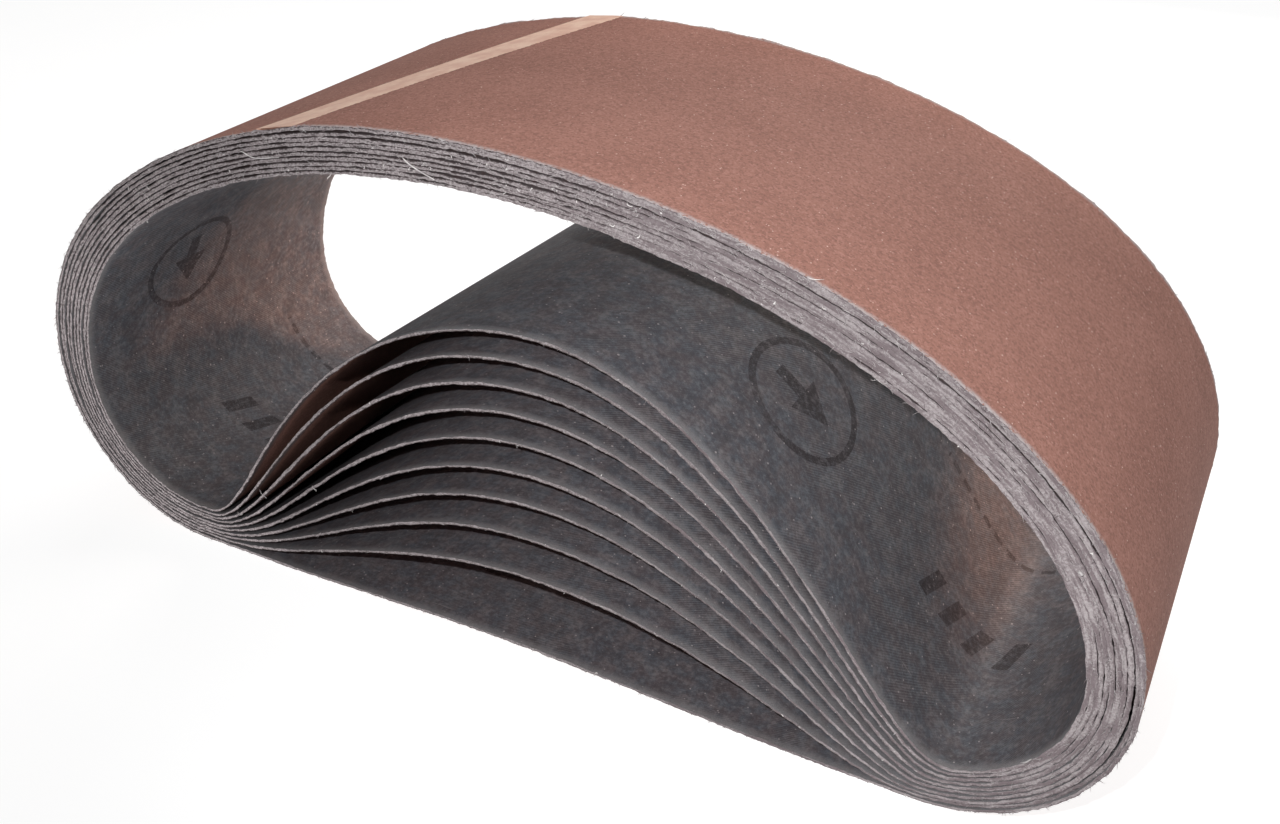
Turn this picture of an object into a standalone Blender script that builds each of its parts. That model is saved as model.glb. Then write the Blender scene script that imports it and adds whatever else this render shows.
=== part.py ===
"""A nested pack of cloth sanding belts, lying on its bottom run as one flattened bundle.

Frame: metres, +Z up, X along the loops, Y across the belts' width. The origin is on the
ground, under the middle of the pack.

Each belt is one endless strip. All of them lie inside one another round the left turn, the top
and the right turn. A loop that lies inside another has a shorter way round, so the length that
it has to spare stands up as a bulge over the bottom run. The bulges make a fan of arches.
"""

import math

import bmesh
import bpy

# Belt sizes
BELT_LENGTH = 0.533
BELT_WIDTH = 0.075
BELT_THICKNESS = 0.00048
LAYER_GAP = 0.00032
BELT_COUNT = 10
# Spare length that each belt has over the one outside it
LENGTH_STEP = 0.0003
# How far each belt is pushed back against the one outside it
EDGE_STEP = 0.0001

# Outer shape of the pack, on the outside of the outermost belt
PACK_HEIGHT = 0.0984
LEFT_RADIUS = 0.0312
RIGHT_RADIUS = 0.0308
APEX_OFFSET = -0.0062
BOTTOM_RISE = 0.002
BOTTOM_PAD = 0.010

# Shape of the fan. Softness runs from 0, a sharp crease, to 1, a slow curve.
LEFT_FOOT_INSET = 0.003
CREST_OFFSET_OUTER = 0.0077
CREST_OFFSET_INNER = 0.0087
LEFT_SOFTNESS_OUTER = 0.68
LEFT_SOFTNESS_INNER = 0.15
RIGHT_SOFTNESS = 0.25
# How far before the bottom of the right turn the innermost belt lifts off it
RIGHT_LIFT = math.radians(19)
# How far the crests lie further right at the back edge than at the front edge
BACK_LEAN = 0.009

# Facets along the strip
PAD_STEPS = 2
LEFT_TURN_STEPS = 9
RIGHT_TURN_STEPS = 7
TOP_STEPS = 40
FAN_STEPS = 44

GRIT_COLOUR = (0.36, 0.17, 0.13, 1.0)
CLOTH_COLOUR = (0.075, 0.068, 0.072, 1.0)

PITCH = BELT_THICKNESS + LAYER_GAP


def ellipse_quarter(half_width, height, steps=360):
    """Length of a quarter of an ellipse."""
    length = 0.0
    last = (half_width, 0.0)
    for step in range(1, steps + 1):
        angle = math.pi / 2 * step / steps
        point = (half_width * math.cos(angle), height * math.sin(angle))
        length += math.dist(last, point)
        last = point
    return length


def solve(measure, target, low, high):
    """The value between low and high at which a rising measure reaches the target."""
    for _ in range(60):
        middle = (low + high) / 2
        if measure(middle) < target:
            low = middle
        else:
            high = middle
    return (low + high) / 2


def outline_length(half_run):
    """Length of the pack's outer outline, with the bottom run flat."""
    left_top = ellipse_quarter(half_run + LEFT_RADIUS + APEX_OFFSET, PACK_HEIGHT - LEFT_RADIUS)
    right_top = ellipse_quarter(half_run + RIGHT_RADIUS - APEX_OFFSET, PACK_HEIGHT - RIGHT_RADIUS)
    turns = math.pi / 2 * (LEFT_RADIUS + RIGHT_RADIUS)
    return 2 * half_run + turns + left_top + right_top


def half_run_length():
    """Half of the flat bottom run that gives the outermost belt its length."""
    target = BELT_LENGTH + math.pi * BELT_THICKNESS
    return solve(outline_length, target, 0.0, BELT_LENGTH)


HALF_RUN = half_run_length()
LEFT_FOOT = -HALF_RUN + LEFT_FOOT_INSET
RIGHT_FOOT = HALF_RUN
# The outline's middle lies on the origin
CENTRE_X = (RIGHT_RADIUS - LEFT_RADIUS) / 2


def turn_station(centre_x, radius, angle):
    """A point of a round turn and its inward normal."""
    outward = (math.cos(angle), math.sin(angle))
    point = (centre_x + radius * outward[0], radius + radius * outward[1])
    return point, (-outward[0], -outward[1])


def top_station(angle):
    """A point of the top arch and its inward normal. The arch is two quarter ellipses."""
    left = angle > math.pi / 2
    radius = LEFT_RADIUS if left else RIGHT_RADIUS
    reach = HALF_RUN + radius + (APEX_OFFSET if left else -APEX_OFFSET)
    height = PACK_HEIGHT - radius
    point = (APEX_OFFSET + reach * math.cos(angle), radius + height * math.sin(angle))
    slope = (math.cos(angle) / reach, math.sin(angle) / height)
    size = math.hypot(*slope)
    return point, (-slope[0] / size, -slope[1] / size)


def nest_stations():
    """Points and inward normals of the outer outline, from the left foot over the top.

    They end in the right turn, where the innermost belt lifts off.
    """
    stations = []
    for step in range(PAD_STEPS):
        x = LEFT_FOOT - LEFT_FOOT_INSET * step / PAD_STEPS
        stations.append(((x, 0.0), (0.0, 1.0)))
    for step in range(LEFT_TURN_STEPS):
        angle = -math.pi / 2 - math.pi / 2 * step / LEFT_TURN_STEPS
        stations.append(turn_station(-HALF_RUN, LEFT_RADIUS, angle))
    for step in range(TOP_STEPS):
        stations.append(top_station(math.pi - math.pi * step / TOP_STEPS))
    for step in range(RIGHT_TURN_STEPS + 1):
        angle = -(math.pi / 2 - RIGHT_LIFT) * step / RIGHT_TURN_STEPS
        stations.append(turn_station(HALF_RUN, RIGHT_RADIUS, angle))
    return stations


def softened(distance, softness):
    """Distance from a foot, 0 to 1, starting slowly by the foot's softness."""
    start = 1 - math.exp(-distance / softness)
    return distance * start / (1 - math.exp(-1 / softness))


def arch_height(x, crest, left_softness, right_foot):
    """Height of a fan arch at x, as a share of its crest."""
    if x > right_foot:
        return 0.0
    if x < crest:
        climb = softened((x - LEFT_FOOT) / (crest - LEFT_FOOT), left_softness)
    else:
        climb = softened((right_foot - x) / (right_foot - crest), RIGHT_SOFTNESS)
    return 1 - (1 - climb) ** 2


def turn_end(depth, angle):
    """X in the right turn, at a depth in the stack and an angle before the turn's bottom."""
    return RIGHT_FOOT + (RIGHT_RADIUS - depth) * math.sin(angle)


def rest_height(x, depth):
    """Height of a layer at a depth in the stack if it lay flat or followed the right turn."""
    radius = RIGHT_RADIUS - depth
    return RIGHT_RADIUS - math.sqrt(radius ** 2 - max(x - RIGHT_FOOT, 0.0) ** 2)


def fan_positions(depth):
    """X of each point from the end of the right turn to the left foot, closer near both."""
    start = turn_end(depth, RIGHT_LIFT)
    middle = (start + LEFT_FOOT) / 2
    half = (start - LEFT_FOOT) / 2
    return [middle + half * math.cos(math.pi * step / FAN_STEPS) for step in range(FAN_STEPS + 1)]


def path_length(points):
    """Length of an open line of points."""
    return sum(math.dist(a, b) for a, b in zip(points, points[1:]))


def arch_points(index, lean):
    """Middle line of one inner belt's arch, from the right turn to the left foot."""
    share = (index - 1) / max(BELT_COUNT - 2, 1)
    crest = CREST_OFFSET_OUTER + (CREST_OFFSET_INNER - CREST_OFFSET_OUTER) * share + lean
    left = LEFT_SOFTNESS_OUTER + (LEFT_SOFTNESS_INNER - LEFT_SOFTNESS_OUTER) * share
    depth = index * PITCH + BELT_THICKNESS / 2
    foot = turn_end(depth, RIGHT_LIFT * share)
    # A full turn shortens each loop by its depth in the stack
    spare = index * (2 * math.pi * PITCH + LENGTH_STEP)
    target = RIGHT_LIFT * (RIGHT_RADIUS - depth) + RIGHT_FOOT - LEFT_FOOT + spare

    def points(crest_height):
        return [(x, rest_height(x, depth) + crest_height * arch_height(x, crest, left, foot))
                for x in fan_positions(depth)]

    def length(crest_height):
        return path_length(points(crest_height))

    return points(solve(length, target, 0.0, BELT_LENGTH))


def bottom_points():
    """Middle line of the outermost belt's bottom run: two flat pads and a slight rise."""
    depth = BELT_THICKNESS / 2
    start = RIGHT_FOOT - BOTTOM_PAD
    end = LEFT_FOOT + BOTTOM_PAD
    points = []
    for x in fan_positions(depth):
        share = min(max((start - x) / (start - end), 0.0), 1.0)
        points.append((x, rest_height(x, depth) + BOTTOM_RISE * math.sin(math.pi * share) ** 2))
    return points


def line_normals(points):
    """Normals of the inner points of a line that runs right to left: they point inwards."""
    normals = []
    for a, b in zip(points, points[2:]):
        run = (b[0] - a[0], b[1] - a[1])
        size = math.hypot(*run)
        normals.append((run[1] / size, -run[0] / size))
    return normals


def belt_section(index, lean):
    """Outer and inner line of one belt in the XZ plane. Index 0 is the outermost belt."""
    depth = index * PITCH
    outer = []
    inner = []
    for point, normal in nest_stations():
        for line, offset in ((outer, depth), (inner, depth + BELT_THICKNESS)):
            line.append((point[0] + normal[0] * offset, point[1] + normal[1] * offset))
    # The nest's line already has a station at each end of the run between the feet
    run = bottom_points() if index == 0 else arch_points(index, lean)
    for point, normal in zip(run[1:-1], line_normals(run)):
        for line, side in ((outer, -1), (inner, 1)):
            offset = side * BELT_THICKNESS / 2
            line.append((point[0] + normal[0] * offset, point[1] + normal[1] * offset))
    return outer, inner


def material(name, colour, roughness):
    """A plain Principled material."""
    result = bpy.data.materials.new(name)
    result.use_nodes = True
    shader = result.node_tree.nodes["Principled BSDF"]
    shader.inputs["Base Color"].default_value = colour
    shader.inputs["Roughness"].default_value = roughness
    shader.inputs["Metallic"].default_value = 0.0
    return result


def add_loop(mesh, line, y):
    """The vertices of one closed line at a place across the width."""
    return [mesh.verts.new((x - CENTRE_X, y, z)) for x, z in line]


def join_loops(mesh, first, second, slot):
    """A band of faces between two closed loops of vertices."""
    count = len(first)
    for step in range(count):
        after = (step + 1) % count
        face = mesh.faces.new((first[step], first[after], second[after], second[step]))
        face.material_index = slot
        face.smooth = True


def make_belt(index, materials):
    """One endless belt: grit outside, cloth inside, cut edges front and back."""
    pushed_back = index * EDGE_STEP
    pack_width = BELT_WIDTH + (BELT_COUNT - 1) * EDGE_STEP
    front_y = -pack_width / 2 + pushed_back
    back_y = front_y + BELT_WIDTH
    front_outer, front_inner = belt_section(index, 0.0)
    back_outer, back_inner = belt_section(index, BACK_LEAN)

    mesh = bmesh.new()
    loops = [
        add_loop(mesh, front_outer, front_y),
        add_loop(mesh, back_outer, back_y),
        add_loop(mesh, back_inner, back_y),
        add_loop(mesh, front_inner, front_y),
    ]
    for side, slot in enumerate((0, 1, 1, 1)):
        join_loops(mesh, loops[side], loops[(side + 1) % 4], slot)
    bmesh.ops.recalc_face_normals(mesh, faces=mesh.faces)
    bmesh.ops.triangulate(mesh, faces=mesh.faces, quad_method="FIXED")

    name = f"belt_{index + 1:02d}"
    data = bpy.data.meshes.new(name)
    mesh.to_mesh(data)
    mesh.free()
    for item in materials:
        data.materials.append(item)
    data.set_sharp_from_angle(angle=math.radians(40))
    belt = bpy.data.objects.new(name, data)
    bpy.context.scene.collection.objects.link(belt)
    return belt


def clear_scene():
    """Removes what the scene holds at the start."""
    for item in list(bpy.data.objects):
        bpy.data.objects.remove(item, do_unlink=True)


def main():
    clear_scene()
    pack = bpy.data.objects.new("belt_pack", None)
    bpy.context.scene.collection.objects.link(pack)
    for index in range(BELT_COUNT):
        grit = material(f"grit_{index + 1:02d}", GRIT_COLOUR, 0.85)
        cloth = material(f"cloth_{index + 1:02d}", CLOTH_COLOUR, 0.75)
        belt = make_belt(index, (grit, cloth))
        belt.parent = pack


main()
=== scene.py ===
"""Looks of a nested pack of ten cloth sanding belts.

Each belt is a fine mesh that stands for the solid of the same name. Lengths are in metres.
A point of a belt is given by how far it lies along the strip, from the left foot over the
top and the right turn and back along the bottom or through the fan, by how far it lies across
the strip from the front edge, and by its depth, from 0 on the grit face to 1 on the cloth face.
"""

import math

import bpy
import numpy as np
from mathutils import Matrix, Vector


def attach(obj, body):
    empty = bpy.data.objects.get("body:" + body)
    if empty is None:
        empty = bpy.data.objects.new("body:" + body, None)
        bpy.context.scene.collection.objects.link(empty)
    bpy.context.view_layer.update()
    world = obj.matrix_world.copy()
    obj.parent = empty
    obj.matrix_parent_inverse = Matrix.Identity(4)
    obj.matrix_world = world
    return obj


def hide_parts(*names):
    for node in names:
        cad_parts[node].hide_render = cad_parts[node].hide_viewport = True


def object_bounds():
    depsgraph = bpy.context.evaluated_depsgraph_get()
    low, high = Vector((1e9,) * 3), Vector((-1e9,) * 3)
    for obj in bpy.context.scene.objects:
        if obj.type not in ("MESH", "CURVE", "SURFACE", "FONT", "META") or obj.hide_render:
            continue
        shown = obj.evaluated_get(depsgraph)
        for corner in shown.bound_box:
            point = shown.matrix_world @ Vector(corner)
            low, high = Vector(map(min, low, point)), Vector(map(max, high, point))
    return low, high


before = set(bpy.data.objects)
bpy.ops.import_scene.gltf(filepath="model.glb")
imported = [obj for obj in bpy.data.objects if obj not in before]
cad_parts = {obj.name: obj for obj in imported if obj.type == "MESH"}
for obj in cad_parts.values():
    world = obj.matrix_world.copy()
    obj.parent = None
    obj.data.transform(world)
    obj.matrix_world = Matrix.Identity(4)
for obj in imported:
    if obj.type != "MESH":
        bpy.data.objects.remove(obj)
cad_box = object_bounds()

# Sizes of the solids, as in the part's own source
BELT_LENGTH = 0.533
BELT_WIDTH = 0.075
BELT_THICKNESS = 0.00048
LAYER_GAP = 0.00032
BELT_COUNT = 10
LENGTH_STEP = 0.0003
EDGE_STEP = 0.0001
PACK_HEIGHT = 0.0984
LEFT_RADIUS = 0.0312
RIGHT_RADIUS = 0.0308
APEX_OFFSET = -0.0062
BOTTOM_RISE = 0.002
BOTTOM_PAD = 0.010
LEFT_FOOT_INSET = 0.003
CREST_OFFSET_OUTER = 0.0077
CREST_OFFSET_INNER = 0.0087
LEFT_SOFTNESS_OUTER = 0.68
LEFT_SOFTNESS_INNER = 0.15
RIGHT_SOFTNESS = 0.25
RIGHT_LIFT = math.radians(19)
BACK_LEAN = 0.009
PITCH = BELT_THICKNESS + LAYER_GAP
PACK_WIDTH = BELT_WIDTH + (BELT_COUNT - 1) * EDGE_STEP

# Fine mesh of a belt
STATIONS = 1500
# Places across a belt, counted from either edge
COLUMNS_FINE = (0.0, 0.00025, 0.0008, 0.002, 0.005, 0.012, 0.022)
COLUMNS_COARSE = (0.0, 0.00025, 0.0008, 0.0025)
EDGE_DEPTHS = (0.34, 0.68)
GRIT_SLOT, CLOTH_SLOT, CUT_SLOT = range(3)
OUTLINE_STEPS = 400
SECTION_BLUR = 1.2
# Small waves of the cut edges and of the faces' rims: spread in stations, size
EDGE_WAVES = ((54, 0.00008), (12, 0.00004), (0.9, 0.00004))
RIM_WAVES = ((16, 0.00003), (4, 0.00004), (0.8, 0.00004))
EDGE_WAVE_REACH = 0.003
RIM_WAVE_REACH = 0.0004
# Each belt's pattern starts this much further along than that of the belt around it
BELT_SPACING = 0.7

# What shows of a belt: loose cloth is thicker than the solid that stands for it
THICKNESS_FAN = 0.00053
THICKNESS_LOOSE = 0.00060
THICKNESS_PRESSED = 0.00077
THICKNESS_OUTER_PRESSED = 0.00064
PRESSED_FROM = 0.0
PRESSED_FULL = 0.05
EDGE_PRESSED_FULL = 0.045
PRESSED_RELEASE = 0.014
FOOT_BLEND = 0.004
LIFT_BLEND = 0.010
GAP_FROM = -0.035
GAP_FULL = 0.0
# The second belt lies closer to the first one than to the third one on the right
SECOND_BELT_SHIFT = 0.00015

FRONT_Y = -PACK_WIDTH / 2
MILLIMETRES = 1000.0

# The lap of the outermost belt's joint, along the belt, on its grit face
SPLICE_START = 0.1520
SPLICE_WIDTH = 0.0077
SPLICE_SLANT = 0.262
SPLICE_LIFT = 0.00030
SPLICE_FADE = 0.048


def unit(vectors):
    """Vectors of length one."""
    return vectors / np.linalg.norm(vectors, axis=-1, keepdims=True)


def smooth_step(values, low, high):
    """0 below low, 1 above high and a smooth rise between them."""
    share = np.clip((values - low) / (high - low), 0.0, 1.0)
    return share * share * (3 - 2 * share)


def path_length(points):
    """Length of a line through points."""
    return float(np.linalg.norm(np.diff(points, axis=0), axis=1).sum())


def solve(measure, target, low, high):
    """The value between low and high at which a rising measure reaches the target."""
    for _ in range(50):
        middle = (low + high) / 2
        if measure(middle) < target:
            low = middle
        else:
            high = middle
    return (low + high) / 2


def ellipse_quarter(half_width, height):
    """Length of a quarter of an ellipse."""
    angles = np.linspace(0.0, math.pi / 2, OUTLINE_STEPS)
    return path_length(np.column_stack((half_width * np.cos(angles), height * np.sin(angles))))


def outline_length(half_run):
    """Length of the pack's outer outline, with the bottom run flat."""
    left_top = ellipse_quarter(half_run + LEFT_RADIUS + APEX_OFFSET, PACK_HEIGHT - LEFT_RADIUS)
    right_top = ellipse_quarter(half_run + RIGHT_RADIUS - APEX_OFFSET, PACK_HEIGHT - RIGHT_RADIUS)
    turns = math.pi / 2 * (LEFT_RADIUS + RIGHT_RADIUS)
    return 2 * half_run + turns + left_top + right_top


HALF_RUN = solve(outline_length, BELT_LENGTH + math.pi * BELT_THICKNESS, 0.0, BELT_LENGTH)
LEFT_FOOT = -HALF_RUN + LEFT_FOOT_INSET
RIGHT_FOOT = HALF_RUN
CENTRE_X = (RIGHT_RADIUS - LEFT_RADIUS) / 2


def turn(centre_x, radius, start, sweep):
    """A turn, clockwise from an angle: points and inward normals."""
    angles = start - np.linspace(0.0, sweep, OUTLINE_STEPS // 4)
    outward = np.column_stack((np.cos(angles), np.sin(angles)))
    return np.array((centre_x, radius)) + radius * outward, -outward


def top_arch():
    """The top arch, two quarter ellipses: points and inward normals."""
    angles = np.linspace(math.pi, 0.0, OUTLINE_STEPS)[1:-1]
    left = angles > math.pi / 2
    radius = np.where(left, LEFT_RADIUS, RIGHT_RADIUS)
    reach = HALF_RUN + radius + np.where(left, APEX_OFFSET, -APEX_OFFSET)
    height = PACK_HEIGHT - radius
    points = np.column_stack((APEX_OFFSET + reach * np.cos(angles),
                              radius + height * np.sin(angles)))
    slopes = np.column_stack((np.cos(angles) / reach, np.sin(angles) / height))
    return points, -unit(slopes)


def nest_outline():
    """The outer outline from the left foot over the top, to where the innermost belt lifts off."""
    pad = (np.array([(LEFT_FOOT, 0.0)]), np.array([(0.0, 1.0)]))
    parts = [
        pad,
        turn(-HALF_RUN, LEFT_RADIUS, -math.pi / 2, math.pi / 2),
        top_arch(),
        turn(HALF_RUN, RIGHT_RADIUS, 0.0, math.pi / 2 - RIGHT_LIFT),
    ]
    return np.vstack([p for p, _ in parts]), np.vstack([n for _, n in parts])


NEST_POINTS, NEST_NORMALS = nest_outline()


def softened(distance, softness):
    """Distance from a foot, 0 to 1, starting slowly by the foot's softness."""
    return distance * (1 - np.exp(-distance / softness)) / (1 - math.exp(-1 / softness))


def turn_end(depth, angle):
    """X in the right turn, at a depth in the stack and an angle before the turn's bottom."""
    return RIGHT_FOOT + (RIGHT_RADIUS - depth) * math.sin(angle)


def rest_height(x, depth):
    """Height of a layer at a depth in the stack if it lay flat or followed the right turn."""
    radius = RIGHT_RADIUS - depth
    return RIGHT_RADIUS - np.sqrt(radius ** 2 - np.maximum(x - RIGHT_FOOT, 0.0) ** 2)


def fan_positions(depth):
    """X of each point from the end of the right turn to the left foot, closer near both."""
    start = turn_end(depth, RIGHT_LIFT)
    angles = np.linspace(0.0, math.pi, OUTLINE_STEPS + 1)
    return (start + LEFT_FOOT) / 2 + (start - LEFT_FOOT) / 2 * np.cos(angles)


def arch_points(index, lean):
    """Middle line of one inner belt's arch, from the right turn to the left foot."""
    share = (index - 1) / (BELT_COUNT - 2)
    crest = CREST_OFFSET_OUTER + (CREST_OFFSET_INNER - CREST_OFFSET_OUTER) * share + lean
    left = LEFT_SOFTNESS_OUTER + (LEFT_SOFTNESS_INNER - LEFT_SOFTNESS_OUTER) * share
    depth = index * PITCH + BELT_THICKNESS / 2
    foot = turn_end(depth, RIGHT_LIFT * share)
    spare = index * (2 * math.pi * PITCH + LENGTH_STEP)
    target = RIGHT_LIFT * (RIGHT_RADIUS - depth) + RIGHT_FOOT - LEFT_FOOT + spare
    x = fan_positions(depth)
    from_left = np.clip((x - LEFT_FOOT) / (crest - LEFT_FOOT), 0, 1)
    from_right = np.clip((foot - x) / (foot - crest), 0, 1)
    climb = np.where(x < crest, softened(from_left, left), softened(from_right, RIGHT_SOFTNESS))
    shape = 1 - (1 - climb) ** 2
    base = rest_height(x, depth)

    def points(crest_height):
        return np.column_stack((x, base + crest_height * shape))

    def length(crest_height):
        return path_length(points(crest_height))

    return points(solve(length, target, 0.0, BELT_LENGTH))


def bottom_points():
    """Middle line of the outermost belt's bottom run: two flat pads and a slight rise."""
    depth = BELT_THICKNESS / 2
    start = RIGHT_FOOT - BOTTOM_PAD
    end = LEFT_FOOT + BOTTOM_PAD
    x = fan_positions(depth)
    share = np.clip((start - x) / (start - end), 0.0, 1.0)
    rise = BOTTOM_RISE * np.sin(math.pi * share) ** 2
    return np.column_stack((x, rest_height(x, depth) + rise))


def ring_blur(values, spread):
    """A closed line of values, smoothed over a number of stations."""
    reach = np.arange(-4 * math.ceil(spread), 4 * math.ceil(spread) + 1)
    weights = np.exp(-0.5 * (reach / spread) ** 2)
    weights /= weights.sum()
    return sum(w * np.roll(values, -shift, axis=0) for w, shift in zip(weights, reach))


def belt_section(index, lean):
    """Even stations round one belt's closed middle line, and its total and nest lengths."""
    depth = index * PITCH + BELT_THICKNESS / 2
    nest = NEST_POINTS + NEST_NORMALS * depth
    run = bottom_points() if index == 0 else arch_points(index, lean)
    line = np.vstack((nest, run[1:]))
    along = np.concatenate(([0.0], np.cumsum(np.linalg.norm(np.diff(line, axis=0), axis=1))))
    stations = np.linspace(0.0, along[-1], STATIONS, endpoint=False)
    points = np.column_stack([np.interp(stations, along, line[:, axis]) for axis in (0, 1)])
    points[:, 0] -= CENTRE_X
    return ring_blur(points, SECTION_BLUR), along[-1], along[len(nest) - 1]


def ring_noise(seed, *waves):
    """Smooth closed noise along a belt, from pairs of a spread in stations and a size."""
    rng = np.random.default_rng(seed)
    total = np.zeros(STATIONS)
    for spread, size in waves:
        values = ring_blur(rng.normal(size=STATIONS), spread)
        total += values / values.std() * size
    return total


class Belt:
    """The shape of one belt, for its mesh and for what lies on it."""

    def __init__(self, index):
        self.index = index
        self.front, self.length, self.nest_length = belt_section(index, 0.0)
        self.back, _, _ = belt_section(index, BACK_LEAN)
        self.front_y = FRONT_Y + index * EDGE_STEP
        self.along = np.arange(STATIONS) / STATIONS * self.length
        self.thickness = self.visible_thickness()
        self.shift = self.sideways_shift()
        self.edge_wave = [ring_noise(100 * index + side, *EDGE_WAVES) for side in range(2)]
        self.rim_noise = [ring_noise(100 * index + 10 + side, *RIM_WAVES) for side in range(4)]

    def pressed(self):
        """How hard the layers press on one another: 1 down the right of the stack."""
        on_right = smooth_step(self.front[:, 0], PRESSED_FROM, PRESSED_FULL)
        in_nest = smooth_step(self.nest_length - self.along, 0.0, PRESSED_RELEASE)
        return on_right * in_nest

    def in_nest(self):
        """1 in the stack, 0 in the fan of arches or along the bottom."""
        from_left = smooth_step(self.along, -FOOT_BLEND, FOOT_BLEND)
        return from_left * smooth_step(self.nest_length - self.along, -FOOT_BLEND, LIFT_BLEND)

    def visible_thickness(self):
        """Thickness at each station: thin in the fan, thicker in the stack."""
        pressed = THICKNESS_OUTER_PRESSED if self.index < 2 else THICKNESS_PRESSED
        in_stack = THICKNESS_LOOSE + (pressed - THICKNESS_LOOSE) * self.pressed()
        return THICKNESS_FAN + (in_stack - THICKNESS_FAN) * self.in_nest()

    def sideways_shift(self):
        """How far the belt lies off its solid's middle line, towards the inside."""
        if self.index != 1:
            return np.zeros(STATIONS)
        on_right = smooth_step(self.front[:, 0], GAP_FROM, GAP_FULL)
        return -SECOND_BELT_SHIFT * on_right * self.in_nest()

    def middle(self, across):
        """Points and inward normals in the XZ plane at a place across the belt."""
        share = across / BELT_WIDTH
        points = self.front * (1 - share) + self.back * share
        tangents = unit(np.roll(points, -1, axis=0) - np.roll(points, 1, axis=0))
        return points, np.column_stack((tangents[:, 1], -tangents[:, 0]))

    def lap_lift(self, across):
        """How far the outermost belt rises over its own lapped end."""
        if self.index:
            return np.zeros(STATIONS)
        past = self.along - (SPLICE_START + SPLICE_SLANT * across)
        rise = smooth_step(past, 0.0, SPLICE_WIDTH)
        fall = 1 - smooth_step(past, SPLICE_WIDTH, SPLICE_WIDTH + SPLICE_FADE)
        return SPLICE_LIFT * rise * fall

    def ring(self, across, depth):
        """One closed line of 3-D points along the belt."""
        points, normals = self.middle(across)
        offset = self.shift + (depth - 0.5) * self.thickness - self.lap_lift(across)
        near_front = math.exp(-across / RIM_WAVE_REACH)
        near_back = math.exp(-(BELT_WIDTH - across) / RIM_WAVE_REACH)
        side = 1 if depth > 0.5 else 0
        offset = offset + self.rim_noise[side] * near_front + self.rim_noise[2 + side] * near_back
        points = points + normals * offset[:, None]
        front_wave = self.edge_wave[0] * math.exp(-across / EDGE_WAVE_REACH)
        back_wave = self.edge_wave[1] * math.exp(-(BELT_WIDTH - across) / EDGE_WAVE_REACH)
        y = self.front_y + across + front_wave + back_wave
        return np.column_stack((points[:, 0], y, points[:, 1]))

    def place(self, along, across, height=0.0):
        """3-D points over the grit face at places along and across, height outwards."""
        along = np.asarray(along, dtype=float)
        across = np.broadcast_to(np.asarray(across, dtype=float), along.shape)
        height = np.broadcast_to(np.asarray(height, dtype=float), along.shape)
        step = along / self.length * STATIONS
        low = np.floor(step).astype(int)
        part = (step - low)[:, None]
        share = (across / BELT_WIDTH)[:, None]

        def at(offset):
            station = (low + offset) % STATIONS
            return self.front[station] * (1 - share) + self.back[station] * share

        points = at(0) * (1 - part) + at(1) * part
        tangents = unit(at(2) - at(-1))
        normals = np.column_stack((tangents[:, 1], -tangents[:, 0]))
        thickness = np.interp(along, self.along, self.thickness)
        points = points - normals * (thickness / 2 + height)[:, None]
        return np.column_stack((points[:, 0], self.front_y + across, points[:, 1]))


def mesh_object(name, points, faces, materials, uv_maps=None, slots=None, sharp=None):
    """A smooth mesh object from arrays of points and of faces of one size each."""
    data = bpy.data.meshes.new(name)
    points = np.asarray(points, dtype=np.float32)
    faces = np.asarray(faces, dtype=np.int32)
    corners = faces.size
    data.vertices.add(len(points))
    data.vertices.foreach_set("co", points.ravel())
    data.loops.add(corners)
    data.loops.foreach_set("vertex_index", faces.ravel())
    data.polygons.add(len(faces))
    data.polygons.foreach_set("loop_start", np.arange(0, corners, faces.shape[1], dtype=np.int32))
    if slots is not None:
        data.polygons.foreach_set("material_index", np.asarray(slots, dtype=np.int32))
    for map_name, values in (uv_maps or {}).items():
        layer = data.uv_layers.new(name=map_name)
        layer.uv.foreach_set("vector", np.asarray(values, dtype=np.float32).ravel())
    data.update(calc_edges=True)
    data.validate()
    data.shade_smooth()
    if sharp:
        data.set_sharp_from_angle(angle=math.radians(sharp))
    for item in materials:
        data.materials.append(item)
    piece = bpy.data.objects.new(name, data)
    bpy.context.scene.collection.objects.link(piece)
    return piece


def columns_across(from_edge):
    """Places across a belt: the given ones from both edges, and the middle."""
    return [*from_edge, BELT_WIDTH / 2, *(BELT_WIDTH - place for place in reversed(from_edge))]


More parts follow.
